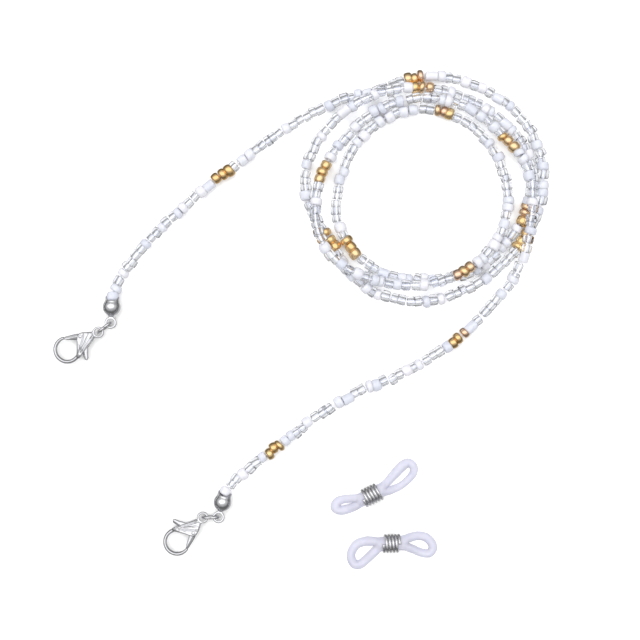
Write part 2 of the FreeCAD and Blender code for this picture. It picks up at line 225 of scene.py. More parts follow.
# Where each sculpted shape is sampled: its box's low and high corner, and the size of a cell.
SHELL_GRID = ((-1.7, -3.8, -1.8), (12.1, 3.8, 1.8), 0.055)
GATE_GRID = ((2.8, -4.9, -0.8), (8.2, 3.3, 0.8), 0.09)
LEAF_GRID = ((1.7, -1.2, -0.6), (3.6, 0.7, 0.6), 0.05)
TIP_GRID = ((-2.9, -2.4, -2.4), (5.5, 2.4, 2.4), 0.09)

# ---- temple holders, in mm: x runs along the waist, towards the temple loop ----
WIRE = 0.33
WIRE_MEAN = 1.92
WIRE_PITCH = 0.78
WIRE_TURNS = {"1": 5.5, "2": 5.0}
WIRE_STEPS_PER_TURN = 28
WAIST_Z = WIRE_MEAN + WIRE
WAIST_RADIUS = 1.5
LOOP_START = 2.3
LOOP_DOWN = 6.8
LOOP_FINER = 4
LOOP_JOIN_X = 0.9
LOOP_OVERLAP = 0.25
LOOP_MARGIN = 0.6
LOOP_CELL = 0.16
LOOP_OFF_TABLE = 0.02
# Each loop's box takes in its half of the waist, and reaches a little below the table.
WAIST_LOW = (-1.0, -2.4, 0)
WAIST_HIGH = (2.0, 2.4, 4.4)
UNDER_TABLE = -0.3
# A loop's centre line from the waist and back: x along the waist, y across it, and its radius.
HOLDER_LOOPS = {
    "1": {"temple": [(1.0, 0.5, 0.95), (2.7, 0.6, 0.98), (4.5, 0.95, 1.0), (7.0, 1.9, 1.13),
                     (9.3, 2.8, 1.22), (11.1, 2.95, 1.08), (11.95, 1.7, 0.98), (11.3, 0.25, 0.95),
                     (9.5, -0.65, 0.9), (7.1, -1.25, 0.88), (4.5, -1.05, 0.97),
                     (2.7, -0.6, 0.98), (1.0, -0.5, 0.95)],
          "clasp": [(1.0, -0.5, 0.95), (-2.7, -0.6, 0.98), (-4.7, -0.8, 1.05), (-6.5, -0.7, 1.08),
                    (-8.2, -0.25, 1.13), (-9.05, 0.85, 1.15), (-8.2, 1.87, 1.1), (-6.5, 1.85, 1.0),
                    (-4.6, 1.2, 0.95), (-2.7, 0.6, 0.95), (1.0, 0.5, 0.95)]},
    "2": {"temple": [(1.0, 0.5, 0.95), (2.7, 0.7, 1.02), (4.3, 1.15, 1.05), (6.3, 1.45, 1.06),
                     (8.2, 1.05, 1.04), (9.55, -0.3, 1.05), (9.8, -1.8, 1.05),
                     (8.8, -2.85, 1.02), (6.9, -2.55, 1.0), (4.8, -1.5, 1.0), (2.9, -0.7, 1.0),
                     (1.0, -0.5, 0.95)],
          "clasp": [(1.0, -0.5, 0.95), (-2.7, -0.8, 1.0), (-4.1, -1.9, 1.1), (-6.0, -3.65, 1.08),
                    (-7.6, -4.85, 1.08), (-9.05, -4.65, 1.1), (-9.7, -3.1, 1.05),
                    (-9.35, -1.5, 1.05), (-8.1, 0.0, 1.08), (-6.1, 0.6, 1.12),
                    (-4.3, 0.6, 1.08), (-2.7, 0.5, 0.98), (1.0, 0.5, 0.95)]},
}

# ---- view ----
VIEW_WIDTH = 0.1524
VIEW_OFFSET = Vector((0.0043, -0.0014, 0.0))
LENS = 85.0
SENSOR = 36.0
SKY_STRENGTH = 0.95
SKY_STRETCH = (0.65, 1.25, 1.0)
SKY_LEAN = (-0.05, 0.24, 0.97)
SKY_UNEVEN = 0.3
SKY_CLOUDS = 2.2
# Light by height, from straight down at -1 to straight up at 1.
SKY_STOPS = [(-1.0, 0.66), (-0.7, 0.58), (-0.55, 0.22), (0.12, 0.14), (0.35, 0.36), (0.6, 0.6),
             (0.82, 0.74), (0.92, 1.45)]
# The same for light that has come through glass.
GLASS_STOPS = [(-1.0, 1.05), (-0.8, 0.97), (-0.6, 0.4), (0.1, 0.34), (0.4, 0.6), (0.8, 1.0)]
GLASS_SHADOW = (0.96, 0.965, 0.97, 1)
# Each lamp's name, place and size in metres, and power in watts.
LAMPS = [("key", (-0.35, 0.35, 0.7), 0.9, 5.2), ("fill", (0.4, -0.3, 0.7), 0.9, 4.4)]
FLOOR_REACH = 3.0

rng = random.Random(20)


# ---- small tools ----
def joint(name):
    return next(j for j in frame["joints"] if j["name"] == name)


def middle(node):
    """The middle of a CAD node's box, in metres."""
    low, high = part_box(node)
    return (low + high) / 2


def linear(red, green, blue):
    """A colour given in sRGB, from 0 to 255, as linear RGBA."""
    return tuple((c / 255) ** 2.2 for c in (red, green, blue)) + (1.0,)


def mesh_object(name, points, faces, smooth=True):
    """A mesh of points in metres."""
    mesh = bpy.data.meshes.new(name)
    mesh.from_pydata([tuple(p) for p in points], [], faces)
    mesh.polygons.foreach_set("use_smooth", [smooth] * len(mesh.polygons))
    mesh.update()
    made = bpy.data.objects.new(name, mesh)
    bpy.context.scene.collection.objects.link(made)
    return made


def stand_in(piece, body, slot, material, *nodes):
    """The piece stands for the CAD nodes, which it hides, rides on the body and has the material.
    The slot is not used.
    """
    piece.data.materials.append(material)
    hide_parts(*nodes)
    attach(piece, body)


# ---- camera ----
def make_camera():
    """Straight above, with VIEW_WIDTH metres across the picture at the strand's height."""
    low, high = CAD_BOX
    centre = (low + high) / 2 + VIEW_OFFSET
    data = bpy.data.cameras.new("camera")
    data.lens = LENS
    data.sensor_width = SENSOR
    data.clip_start = 0.01
    camera = bpy.data.objects.new("camera", data)
    camera.location = (centre.x, centre.y, STRAND_Z * MM + VIEW_WIDTH * LENS / SENSOR)
    bpy.context.scene.collection.objects.link(camera)
    bpy.context.scene.camera = camera


# ---- strand ----
def smooth_between(values, at):
    """The values at equal steps, joined by a smooth (Catmull-Rom) line and read at `at` steps."""
    values = np.asarray(values, float)
    i = np.clip(np.floor(at).astype(int), 0, len(values) - 2)
    t = at - i
    before, here = values[np.maximum(i - 1, 0)], values[i]
    after, beyond = values[i + 1], values[np.minimum(i + 2, len(values) - 1)]
    return here + 0.5 * t * (after - before + t * (2 * before - 5 * here + 4 * after - beyond
                                                   + t * (3 * (here - after) + beyond - before)))


def settle(plan):
    """Heights in mm of a strand dropped along its plan: a later stretch lies on an earlier one,
    and it climbs and comes down no more steeply than STRAND_SLOPE."""
    step = np.linalg.norm(np.diff(plan, axis=0), axis=1)
    along = np.concatenate([[0], np.cumsum(step)])
    apart = np.linalg.norm(plan[:, None] - plan[None], axis=2)
    later = along[:, None] - along[None] > NEXT_TURN
    over = later & (apart < LAY_DISTANCE)
    climb = np.sqrt(np.maximum(LAY_DISTANCE ** 2 - apart ** 2, 0))
    spread = STRAND_SLOPE * np.maximum(np.abs(along[:, None] - along[None]) - LAY_DISTANCE / 2, 0)
    height = np.full(len(plan), STRAND_Z)
    for _ in range(SETTLE_ROUNDS):
        lifted = np.where(over, height[None] + climb, STRAND_Z).max(axis=1)
        height = np.minimum(np.maximum(height, lifted), HIGHEST_STRAND)
        height = np.maximum((height[None] - spread).max(axis=1), STRAND_Z)
    return height


def coil_points():
    """The coil's points in metres, a little outside its line, as the spline cuts inside them."""
    knots = np.arange(0, len(COIL_RADII) - 1 + 1e-6, 1 / STEPS_PER_KNOT)
    radius = smooth_between(COIL_RADII, knots)
    inside = 1 / math.cos(math.pi / KNOTS_PER_TURN / STEPS_PER_KNOT)
    turn = 2 * math.pi * knots / KNOTS_PER_TURN
    centre = COIL_CENTRE - LAYOUT_CENTRE
    return [Vector((centre.x + r * inside * MM * math.sin(a),
                    centre.y + r * inside * MM * math.cos(a), 0)) for r, a in zip(radius, turn)]


def tail_start(end):
    """The thread's first two points: it leaves its crimp away from the bead tip's eye."""
    crimp = middle(f"crimp_bead_{end}")
    eye = Vector(joint(f"ring_{end}_swing")["pos_m"])
    away = Vector((crimp.x - eye.x, crimp.y - eye.y, 0)).normalized()
    return [crimp + away * CRIMP_END, crimp + away * LIPS_END + Vector((0, 0, -LIPS_DROP))]


def make_thread():
    """The thread, and its centre line as points in mm."""
    head = tail_start("a") + [Vector(p) - LAYOUT_CENTRE for p in TAIL_A]
    foot = tail_start("b") + [Vector(p) - LAYOUT_CENTRE for p in TAIL_B]
    foot.reverse()
    loop = coil_points()
    plan = np.array([p.xy for p in head + loop + foot]) / MM
    dense = np.arange(0, len(plan) - 1 + 1e-6, 1 / SETTLE_STEPS)
    fine = np.stack([smooth_between(plan[:, 0], dense), smooth_between(plan[:, 1], dense)], 1)
    height = settle(fine)[::SETTLE_STEPS]
    for i, point in enumerate(loop):
        point.z = height[len(head) + i] * MM
    route = head + loop + foot
    curve = bpy.data.curves.new("thread", "CURVE")
    curve.dimensions = "3D"
    curve.resolution_u = 8
    spline = curve.splines.new("NURBS")
    spline.points.add(len(route) - 1)
    for point, place in zip(spline.points, route):
        point.co = (*place, 1)
    spline.order_u = 3
    spline.use_endpoint_u = True
    thread = bpy.data.objects.new("thread", curve)
    bpy.context.scene.collection.objects.link(thread)
    line = bpy.data.meshes.new_from_object(thread)
    centre_line = np.array([v.co for v in line.vertices]) / MM
    bpy.data.meshes.remove(line)
    curve.bevel_depth = THREAD_DIAMETER / 2
    curve.bevel_resolution = 4
    curve.use_fill_caps = True
    return thread, centre_line


class Line:
    """A line of points in mm, read by the distance along it."""

    def __init__(self, points):
        self.points = points
        step = np.linalg.norm(np.diff(points, axis=0), axis=1)
        self.along = np.concatenate([[0], np.cumsum(step)])
        self.length = self.along[-1]

    def at(self, distance):
        return np.array([np.interp(distance, self.along, self.points[:, i]) for i in range(3)])

    def heading(self, distance):
        ahead = self.at(distance + HEADING_REACH) - self.at(distance - HEADING_REACH)
        return ahead / np.linalg.norm(ahead)


# ---- beads ----
def bead_mesh(kind, radius, length):
    """Points and faces of one bead in mm: x runs along its hole. No two come out quite alike."""
    shape = BEAD_KINDS[kind]
    wall = (radius - shape["hole"]) / 2
    power = 2 / rng.uniform(*shape["square"])
    around = np.linspace(0, 2 * math.pi, PROFILE_POINTS, endpoint=False) + PROFILE_START
    turn = np.linspace(0, 2 * math.pi, BEAD_SEGMENTS, endpoint=False)
    along = length / 2 * np.sign(np.cos(around)) * np.abs(np.cos(around)) ** power
    out = shape["hole"] + wall + wall * np.sign(np.sin(around)) * np.abs(np.sin(around)) ** power
    skew = rng.uniform(-BEAD_SKEW, BEAD_SKEW)
    oval = rng.uniform(-BEAD_OVAL, BEAD_OVAL)
    taper = rng.uniform(-BEAD_TAPER, BEAD_TAPER)
    lobe = rng.uniform(0, 2 * math.pi)
    wobble = 1 + oval * np.cos(2 * (turn - lobe)) + BEAD_WOBBLE * np.cos(3 * turn + 2 * lobe)
    r = out[:, None] * (1 + taper * along[:, None] / length) * wobble[None]
    y = r * np.cos(turn)
    z = r * np.sin(turn)
    x = along[:, None] + skew * y
    points = np.stack([x, y, z], axis=-1).reshape(-1, 3)
    faces = []
    for i in range(PROFILE_POINTS):
        for j in range(BEAD_SEGMENTS):
            k, m = (i + 1) % PROFILE_POINTS, (j + 1) % BEAD_SEGMENTS
            faces.append((i * BEAD_SEGMENTS + j, k * BEAD_SEGMENTS + j,
                          k * BEAD_SEGMENTS + m, i * BEAD_SEGMENTS + m))
    return points, faces


def next_kind(before):
    """Clear and white beads in an uneven mix, with no long run of one kind."""
    if before[-LONGEST_CLEAR_RUN:] == ["clear"] * LONGEST_CLEAR_RUN:
        return "white"
    if before[-2:] in (["white"] * 2, ["white", "tube"], ["tube", "white"]):
        return "clear"
    return rng.choices(list(KIND_SHARES), list(KIND_SHARES.values()))[0]


def thread_beads(line):
    """Beads as (kind, radius, length, distance of the middle along the line), spread to fill it."""
    beads = []
    kinds = []
    groups = list(GOLD_AT)
    golds = 0
    at = FIRST_BEAD_START
    last = line.length - FIRST_BEAD_START
    while True:
        if groups and at > groups[0] - HALF_GROUP:
            groups.pop(0)
            golds = GOLD_IN_GROUP
        kind = "gold" if golds else next_kind(kinds) if kinds else "white"
        golds = max(golds - 1, 0)
        shape = BEAD_KINDS[kind]
        radius = rng.uniform(*shape["radius"])
        length = rng.uniform(*shape["length"])
        if at + length > last:
            break
        beads.append([kind, radius, length, at + length / 2])
        kinds.append(kind)
        at += length + BEAD_GAP
    beads[-1][0] = "white"
    beads[0][1] = beads[-1][1] = END_BEAD_RADIUS
    spread = (last - FIRST_BEAD_START) / (at - BEAD_GAP - FIRST_BEAD_START)
    return [(kind, radius, length, FIRST_BEAD_START + (along - FIRST_BEAD_START) * spread)
            for kind, radius, length, along in beads]


def place_beads(line, beads):
    """Middles in mm. Each bead hangs off its thread a little, rests no lower than the table and
    is pushed off the beads of other turns."""
    radius = np.array([bead[1] for bead in beads])
    spots = np.array([line.at(bead[3]) for bead in beads])
    start = spots.copy()
    spots += np.array([[rng.uniform(-OFF_CENTRE, OFF_CENTRE) for _ in range(3)] for _ in beads])
    order = np.arange(len(beads))
    strangers = np.abs(order[:, None] - order[None]) > NEIGHBOURS
    for _ in range(PUSH_ROUNDS):
        spots[:, 2] = np.maximum(spots[:, 2], radius)
        apart = spots[:, None] - spots[None]
        distance = np.linalg.norm(apart, axis=2) + np.eye(len(beads))
        deep = np.where(strangers, np.maximum(radius[:, None] + radius[None] - distance, 0), 0)
        push = (apart / distance[..., None] * deep[..., None]).sum(axis=1) * PUSH_SHARE
        spots = start + np.clip(spots + push - start, -PUSHED_MOST, PUSHED_MOST)
    spots[:, 2] = np.maximum(spots[:, 2], radius)
    return spots


def make_beads(line, finishes):
    """One piece of each kind, with that kind's material. Each bead has a number of its
    own, its tone, which its material reads."""
    beads = thread_beads(line)
    spots = place_beads(line, beads)
    pieces = {"clear": ([], [], []), "white": ([], [], []), "gold": ([], [], [])}
    for (kind, radius, length, along), spot in zip(beads, spots):
        points, faces = bead_mesh(kind, radius, length)
        turn = Vector((1, 0, 0)).rotation_difference(Vector(line.heading(along))).to_matrix()
        lean = Vector((0, rng.uniform(-1, 1), rng.uniform(-1, 1))).normalized()
        tilt = Matrix.Rotation(math.radians(rng.uniform(0, TILT)), 3, lean)
        spin = Matrix.Rotation(rng.uniform(0, 2 * math.pi), 3, "X")
        placed = points @ np.array(turn @ tilt @ spin).T + spot
        placed[:, 2] += max(0.0, -placed[:, 2].min())
        all_points, all_faces, tones = pieces["white" if kind == "tube" else kind]
        first = sum(len(p) for p in all_points)
        all_points.append(placed)
        all_faces += [tuple(first + i for i in face) for face in faces]
        tones += [rng.random()] * len(points)
    made = []
    for kind, (points, faces, tones) in pieces.items():
        piece = mesh_object(f"{kind}_beads", np.concatenate(points) * MM, faces)
        tone = piece.data.attributes.new("tone", "FLOAT", "POINT")
        tone.data.foreach_set("value", tones)
        slot, material = finishes[kind]
        stand_in(piece, "strand", slot, material, f"{kind}_beads_a", f"{kind}_beads_b")
        made.append(piece)
    return made


# ---- sculpting: a shape is a signed distance in mm, negative inside ----
def joined(a, b, blend):
    share = np.clip(0.5 + 0.5 * (b - a) / blend, 0, 1)
    return b * (1 - share) + a * share - blend * share * (1 - share)


def common(a, b, blend):
    return -joined(-a, -b, blend)


def cut(a, b, blend):
    return common(a, -b, blend)


def polygon(x, y, outline):
    """Distance from a closed outline, negative inside it."""
    nearest = np.full(x.shape, np.inf)
    inside = np.zeros(x.shape, bool)
    for (ax, ay), (bx, by) in zip(outline, outline[1:] + outline[:1]):
        ex, ey = bx - ax, by - ay
        t = np.clip(((x - ax) * ex + (y - ay) * ey) / (ex * ex + ey * ey), 0, 1)
        nearest = np.minimum(nearest, np.hypot(x - ax - ex * t, y - ay - ey * t))
        if ay != by:
            inside ^= ((ay <= y) != (by <= y)) & (x < ax + (y - ay) / ey * ex)
    return np.where(inside, -nearest, nearest)


def rounded_ring(x, y, z, radius, half_width, half, edge):
    return common(np.abs(np.hypot(x, y) - radius) - half_width, np.abs(z) - half, edge)


def limbs(x, y, z, points):
    """A tube through points (x, y, z, radius), as rounded lengths."""
    nearest = np.full(x.shape, np.inf)
    for a, b in zip(points, points[1:]):
        run = b[:3] - a[:3]
        t = np.clip(((x - a[0]) * run[0] + (y - a[1]) * run[1] + (z - a[2]) * run[2])
                    / (run @ run), 0, 1)
        reach = np.sqrt((x - a[0] - run[0] * t) ** 2 + (y - a[1] - run[1] * t) ** 2
                        + (z - a[2] - run[2] * t) ** 2)
        nearest = np.minimum(nearest, reach - a[3] - (b[3] - a[3]) * t)
    return nearest


def sculpted(name, shape, low, high, cell, place):
    """A smooth mesh of where shape(x, y, z) is zero, one corner in each cell that it crosses,
    moved onto the surface and then to its place."""
    axes = [np.arange(a, b + cell, cell) for a, b in zip(low, high)]
    grid = np.stack(np.meshgrid(*axes, indexing="ij"), axis=-1)
    value = shape(grid[..., 0], grid[..., 1], grid[..., 2])
    inside = value < 0
    count = sum(inside[i:inside.shape[0] - 1 + i, j:inside.shape[1] - 1 + j,
                       k:inside.shape[2] - 1 + k].astype(int)
                for i in (0, 1) for j in (0, 1) for k in (0, 1))
    cells = np.argwhere((count > 0) & (count < 8))
    number = np.full(count.shape, -1)
    number[tuple(cells.T)] = np.arange(len(cells))
    points = np.array(low) + (cells + 0.5) * cell
    for _ in range(SNAP_ROUNDS):
        here = shape(*points.T)
        slope = np.stack([shape(*(points + step).T) - shape(*(points - step).T)
                          for step in np.eye(3) * cell * 0.2], axis=-1) / (0.4 * cell)
        steepness = np.maximum((slope ** 2).sum(axis=1), 0.2)
        move = (here / steepness)[:, None] * slope
        points -= np.clip(move, -0.6 * cell, 0.6 * cell)
    faces = []
    for axis in range(3):
        u, v = np.eye(3, dtype=int)[(axis + 1) % 3], np.eye(3, dtype=int)[(axis + 2) % 3]
        near = np.take(inside, range(inside.shape[axis] - 1), axis)
        far = np.take(inside, range(1, inside.shape[axis]), axis)
        at = np.argwhere(near != far)
        at = at[(at[:, (axis + 1) % 3] > 0) & (at[:, (axis + 2) % 3] > 0)]
        at = at[(at < np.array(count.shape)).all(axis=1)]
        ring = np.stack([number[tuple(corner.T)] for corner in (at, at - u, at - u - v, at - v)], 1)
        inward = far[tuple(at.T)]
        ring[inward] = ring[inward][:, ::-1]
        faces += [tuple(face) for face in ring[(ring >= 0).all(axis=1)]]
    made = mesh_object(name, points * MM, faces)
    made.data.transform(place)
    return made


def swept(name, line, radius, segments, place):
    """A round rod along points in mm, with slightly rounded ends."""
    line = np.asarray(line, float)
    along = np.gradient(line, axis=0)
    along /= np.linalg.norm(along, axis=1)[:, None]
    side = np.cross(along[0], ASKEW)
    turn = np.linspace(0, 2 * math.pi, segments, endpoint=False)
    rings = []
    for spot, way in zip(line, along):
        side = side - way * (side @ way)
        side /= np.linalg.norm(side)
        other = np.cross(way, side)
        rings.append(spot + radius * (np.cos(turn)[:, None] * side + np.sin(turn)[:, None] * other))
    inset = radius * 0.25
    rings.insert(0, line[0] - along[0] * inset + (rings[0] - line[0]) * 0.7)
    rings.append(line[-1] + along[-1] * inset + (rings[-1] - line[-1]) * 0.7)
    count = len(rings)
    faces = [tuple(range(segments))[::-1],
             tuple(range((count - 1) * segments, count * segments))]
    for i in range(count - 1):
        for j in range(segments):
            m = (j + 1) % segments
            faces.append((i * segments + j, i * segments + m,
                          (i + 1) * segments + m, (i + 1) * segments + j))
    made = mesh_object(name, np.concatenate(rings) * MM, faces)
    made.data.transform(place)
    return made


def turned(name, profile, segments, place):
    """A solid turned about z from (radius, height) points, its first and last on the axis."""
    points = [(0, 0, profile[0][1])]
    for radius, height in profile[1:-1]:
        points += [(radius * math.cos(a), radius * math.sin(a), height)
                   for a in np.linspace(0, 2 * math.pi, segments, endpoint=False)]
    points.append((0, 0, profile[-1][1]))
    rings = len(profile) - 2
    faces = []
    for j in range(segments):
        m = (j + 1) % segments
        faces.append((0, 1 + m, 1 + j))
        faces += [(1 + i * segments + j, 1 + i * segments + m,
                   1 + (i + 1) * segments + m, 1 + (i + 1) * segments + j)
                  for i in range(rings - 1)]
        faces.append((1 + (rings - 1) * segments + j, 1 + (rings - 1) * segments + m,
                      len(points) - 1))
    made = mesh_object(name, np.array(points) * MM, faces)
    made.data.transform(place)
    return made


# ---- hardware ----
def standing(spot, heading, flipped=False):
    """Where a piece stands: its x axis along the heading, and upside down where flipped."""
    turn = Matrix.Rotation(heading, 4, "Z")
    if flipped:
        turn = turn @ Matrix.Rotation(math.pi, 4, "X")
    return Matrix.Translation(spot) @ turn


def clasp_body(x, y, z):
    """The cast body: two cheeks with a slot between them, a hook and an eye."""
    thick = np.interp(x, SIDE_X, SIDE_HALF)
    reach = np.hypot(x - SPINE_FOOT[0], y - SPINE_FOOT[1])
    ray = np.arctan2(y - SPINE_FOOT[1], x - SPINE_FOOT[0])
    fan = 0
    for at, depth, wide in FAN:
        off_ray = np.hypot(reach * np.sin(ray - math.radians(at)), FAN_ROUND)
        fan = fan + depth * np.maximum(1 - off_ray / wide, 0)
    faded = (np.clip((reach - FAN_START) / FAN_EASE_IN, 0, 1)
             * np.clip((FAN_END - reach) / FAN_EASE_OUT, 0, 1))
    cheeks = common(polygon(x, y, CHEEKS), np.abs(z) - thick + fan * faded, CHEEK_EDGE)
    slot = common(SLOT_BACK_X - x, np.abs(z) - SLOT_HALF, 0.1)
    cheeks = cut(cheeks, slot, 0.1)
    angle = np.degrees(np.arctan2(y, x - BOW_CENTRE_X))
    off = (angle - BOW_MIDDLE_ANGLE + 180) % 360 - 180
    held = np.radians(BOW_MIDDLE_ANGLE + np.clip(off, -BOW_HALF_SWEEP, BOW_HALF_SWEEP))
    radial = np.hypot(x - BOW_CENTRE_X - BOW_RADIUS * np.cos(held), y - BOW_RADIUS * np.sin(held))
    slim = 1 - BOW_SLIMMER * np.clip((off - BOW_HALF_SWEEP + BOW_SLIM_SWEEP) / BOW_SLIM_SWEEP,
                                     0, 1)
    bow = (np.hypot(radial / BOW_HALF_WIDTH, z / BOW_HALF) - slim) * BOW_HALF_WIDTH
    eye = rounded_ring(x, y, z, EYE_MIDDLE, EYE_HALF_WIDTH, EYE_HALF, 0.28)
    body = joined(joined(cheeks, bow, 0.45), eye, 0.3)
    body = cut(body, np.hypot(x, y) - EYE_MIDDLE + EYE_HALF_WIDTH, 0.2)
    return cut(body, np.hypot(x - PIVOT[0], y - PIVOT[1]) - RIVET_RADIUS, 0.02)


def clasp_lever(x, y, z):
    """Gate and trigger in one, each crowned along its middle, on a hub round the rivet."""
    crown = GATE_CROWN * (GATE_MIDDLE + GATE_SLOPE * x - y)
    half = np.interp(x, [GATE_ROOT_X, GATE_TIP_X], [LEVER_HALF, GATE_TIP_HALF]) - np.abs(crown)
    gate = common(polygon(x, y, GATE) + LEVER_INSET, np.abs(z) - half, LEVER_EDGE)
    crown = GATE_CROWN * np.abs(x - TRIGGER_MIDDLE + TRIGGER_SLOPE * y)
    trigger = common(polygon(x, y, TRIGGER) + LEVER_INSET, np.abs(z) - LEVER_HALF + crown,
                     LEVER_EDGE)
    hub = common(np.hypot(x - PIVOT[0], y - PIVOT[1]) - HUB_RADIUS, np.abs(z) - LEVER_HALF, 0.1)
    lever = joined(joined(gate, trigger, 0.3), hub, 0.2)
    lever = common(lever, np.abs(z) - LEVER_HALF, 0.02)
    return cut(lever, np.hypot(x - PIVOT[0], y - PIVOT[1]) - RIVET_RADIUS - RIVET_PLAY, 0.05)


def leaf_spring(x, y, z):
    """A bent strip between the slot's back and the trigger."""
    line = np.array([(at_x, at_y, 0, SPRING_THICKNESS / 2) for at_x, at_y in SPRING_LINE])
    return common(limbs(x, y, 0 * z, line), np.abs(z) - SPRING_HALF, 0.04)


def bead_tip(x, y, z):
    """A hollow ball in two halves, open along a tilted seam, whose lips hold the first bead."""
    round_x = np.hypot(y, z)
    ball = np.abs(np.sqrt(x * x + y * y + z * z) - TIP_RADIUS + TIP_WALL / 2) - TIP_WALL / 2
    sideways = np.abs(y * math.cos(LIP_TURN) + z * math.sin(LIP_TURN)) / np.maximum(round_x, 0.1)
    lip_end = LIP_LOW + (LIP_HIGH - LIP_LOW) * sideways ** 4
    lips = common(np.abs(round_x - LIP_RADIUS) - LIP_HALF_WALL,
                  np.abs(x + (LIP_ROOT + lip_end) / 2) - (lip_end - LIP_ROOT) / 2, 0.12)
    mouth = common(round_x - LIP_RADIUS + LIP_HALF_WALL, x + LIP_ROOT, 0.1)
    ball = cut(joined(ball, lips, 0.3), mouth, 0.06)
    seam = np.abs(y * math.cos(SEAM_TURN) + z * math.sin(SEAM_TURN)) - SEAM_HALF
    above = SEAM_DEPTH - z * math.cos(SEAM_TURN) + y * math.sin(SEAM_TURN)
    ball = cut(ball, common(common(seam, x - SEAM_END_X, 0.05), above, 0.05), 0.06)
    hinge = np.sqrt((x - TIP_RADIUS + 0.1) ** 2 + z * z * 0.6) - HINGE_RADIUS
    hinge = common(hinge, np.abs(y) - TAB_HALF_WIDTH, 0.15)
    low = z + TIP_EYE_DROP
    neck = common(np.abs(x - NECK_X) - NECK_HALF_LENGTH,
                  np.abs(y) - TAB_HALF_WIDTH + 0.12 * (x - 1.9), 0.15)
    neck = common(neck, np.abs(low) - NECK_HALF, 0.15)
    eye = rounded_ring(x - TIP_EYE_X, y, low, TIP_EYE_MIDDLE, TIP_EYE_HALF_WIDTH, TIP_EYE_HALF,
                       0.25)
    tip = joined(joined(joined(ball, hinge, 0.12), neck, 0.25), eye, 0.15)
    hole = np.hypot(x - TIP_EYE_X, y) - TIP_EYE_MIDDLE + TIP_EYE_HALF_WIDTH
    return cut(tip, common(hole, np.abs(low) - 1.2, 0.1), 0.1)


def ring_line():
    """Round the oval from one side of its seam to the other."""
    half_turn = np.linspace(0, math.pi, RING_END_POINTS)
    line = [((RING_LENGTH + RING_SEAM) / 2, 0, RING_END)]
    line += [(RING_LENGTH - RING_END + RING_END * math.sin(a), 0, RING_END * math.cos(a))
             for a in half_turn]
    line += [(RING_END - RING_END * math.sin(a), 0, -RING_END * math.cos(a)) for a in half_turn]
    line.append(((RING_LENGTH - RING_SEAM) / 2, 0, RING_END))
    return line


def clasp_place(end):
    """Where a clasp stands: its eye and its rivet are where its two joints are."""
    eye = Vector(joint(f"clasp_{end}_swing")["pos_m"])
    lever = joint(f"lever_{end}_press")
    flipped = lever["axis"][2] > 0
    arm = Vector(lever["pos_m"]) - eye
    own = math.atan2(PIVOT[1], PIVOT[0]) * (-1 if flipped else 1)
    return standing(eye, math.atan2(arm.y, arm.x) - own, flipped)


def make_end(end, silver, steel):
    """The hardware at one end of the strand."""
    place = clasp_place(end)
    body = sculpted(f"clasp_{end}_shell", clasp_body, *SHELL_GRID, place)
    lever = sculpted(f"clasp_{end}_gate", clasp_lever, *GATE_GRID, place)
    top = CLASP_HALF - RIVET_FLUSH
    rim = RIVET_RADIUS - RIVET_BEVEL
    rivet = turned(f"clasp_{end}_pin",
                   [(0, -top), (rim, -top), (RIVET_RADIUS, -top + RIVET_BEVEL),
                    (RIVET_RADIUS, top - RIVET_BEVEL), (rim, top), (0, top)],
                   ROD_SEGMENTS["rivet"], place @ Matrix.Translation(Vector((*PIVOT, 0)) * MM))
    spring = sculpted(f"clasp_{end}_leaf", leaf_spring, *LEAF_GRID, place)
    ring_spot = Vector(joint(f"ring_{end}_swing")["pos_m"])
    clasp_eye = Vector(joint(f"clasp_{end}_swing")["pos_m"])
    reach = clasp_eye - ring_spot
    ring = swept(f"jump_ring_{end}_wire", ring_line(), RING_WIRE, ROD_SEGMENTS["ring"],
                 standing(ring_spot, math.atan2(reach.y, reach.x)))
    ball = middle(f"crimp_bead_{end}")
    out = ring_spot - ball
    tip = sculpted(f"bead_tip_{end}_shell", bead_tip, *TIP_GRID,
                   standing(ball, math.atan2(out.y, out.x)))
    for piece, node, rider in ((body, f"clasp_{end}_body", f"clasp_{end}"),
                               (lever, f"clasp_{end}_lever", f"lever_{end}"),
                               (rivet, f"clasp_{end}_rivet", f"clasp_{end}"),
                               (ring, f"jump_ring_{end}", f"ring_{end}"),
                               (tip, f"bead_tip_{end}", "strand")):
        stand_in(piece, rider, "silver_plate", silver, node)
    stand_in(spring, f"clasp_{end}", "spring_steel", steel, f"clasp_{end}_spring")
    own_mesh(spring)
    crimp = frame["nodes"][f"crimp_bead_{end}"]
    crimp.data.materials.clear()
    crimp.data.materials.append(steel)


# ---- temple holders ----
def loop_height(x):
    """How far a loop has come down to the table, from 0 at the waist to 1."""
    share = np.clip((np.abs(x) - LOOP_START) / (LOOP_DOWN - LOOP_START), 0, 1)
    return share * share * (3 - 2 * share)


def loop_points(loop):
    """The loop's centre line with its radius, finer than the outline, sagging to the table."""
    loop = np.array(loop)
    at = np.arange(0, len(loop) - 1 + 1e-6, 1 / LOOP_FINER)
    x, y, radius = (smooth_between(loop[:, i], at) for i in range(3))
    down = loop_height(x)
    return np.stack([x, y, WAIST_Z * (1 - down) + radius * down, radius], axis=1)


